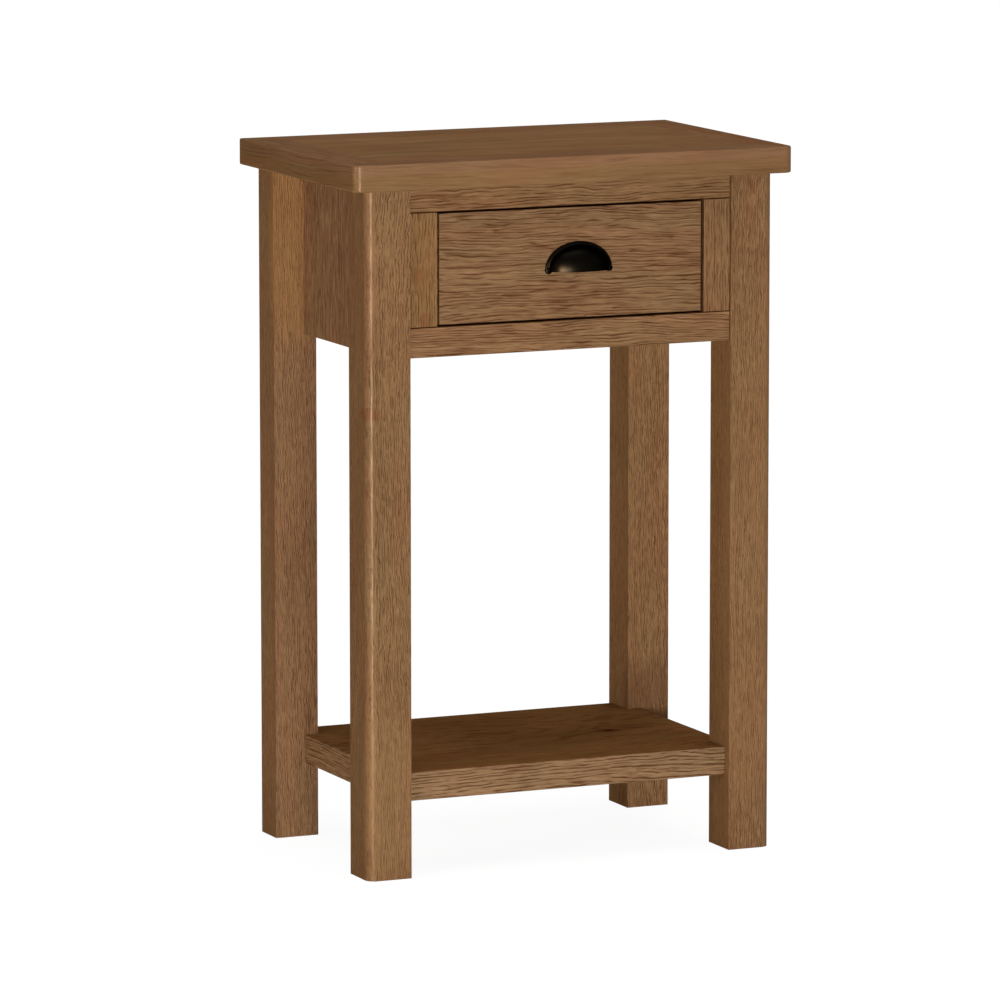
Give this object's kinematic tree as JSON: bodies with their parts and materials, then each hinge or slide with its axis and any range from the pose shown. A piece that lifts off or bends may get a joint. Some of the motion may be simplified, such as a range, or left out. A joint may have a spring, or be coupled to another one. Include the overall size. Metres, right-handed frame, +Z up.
{
  "type": "telephone table",
  "caption": "Small oak hall table for a telephone, with a framed top, one dovetailed drawer with a cup pull, and a low shelf notched round square legs.",
  "frame": {"origin": "on the floor, under the middle of the table's outer box with its pull", "axes": "+Z up, front and drawer at -Y, +X to the right as seen from the front"},
  "size_m": [0.5, 0.3204, 0.75],
  "materials": {
    "oak": "stained and brushed oak, satin lacquer",
    "inner_wood": "plain sanded timber, unstained",
    "pull_metal": "dark bronzed casting, satin",
    "screw_steel": "zinc plated"
  },
  "bodies": {
    "carcass": {"top_panel": "oak", "top_board_front": "oak", "top_board_back": "oak", "top_board_left": "oak", "top_board_right": "oak", "leg_front_left": "oak", "leg_front_right": "oak", "leg_back_left": "oak", "leg_back_right": "oak", "front_rail_upper": "oak", "front_rail_lower": "oak", "front_stile_left": "oak", "front_stile_right": "oak", "side_panel_left": "oak", "side_panel_right": "oak", "back_panel": "oak", "shelf": "oak", "shelf_dowel_front_left_1": "inner_wood", "shelf_dowel_front_left_2": "inner_wood", "shelf_dowel_front_right_1": "inner_wood", "shelf_dowel_front_right_2": "inner_wood", "shelf_dowel_back_left_1": "inner_wood", "shelf_dowel_back_left_2": "inner_wood", "shelf_dowel_back_right_1": "inner_wood", "shelf_dowel_back_right_2": "inner_wood", "drawer_runner_left": "inner_wood", "drawer_runner_right": "inner_wood", "drawer_guide_left": "inner_wood", "drawer_guide_right": "inner_wood", "drawer_kicker_left": "inner_wood", "drawer_kicker_right": "inner_wood", "drawer_stop_left": "inner_wood", "drawer_stop_right": "inner_wood", "corner_block_front_left": "inner_wood", "corner_block_front_right": "inner_wood", "corner_block_back_left": "inner_wood", "corner_block_back_right": "inner_wood", "top_screw_front_left": "screw_steel", "top_screw_front_right": "screw_steel", "top_screw_back_left": "screw_steel", "top_screw_back_right": "screw_steel"},
    "drawer": {"drawer_front": "oak", "drawer_side_left": "inner_wood", "drawer_side_right": "inner_wood", "drawer_back": "inner_wood", "drawer_bottom": "inner_wood", "cup_pull": "pull_metal", "pull_screw_left": "screw_steel", "pull_screw_right": "screw_steel"}
  },
  "joints": [
    {"name": "drawer_slide", "type": "slide", "parent": "carcass", "child": "drawer", "axis": [0, -1, 0], "range_m": [0, 0.2]}
  ]
}
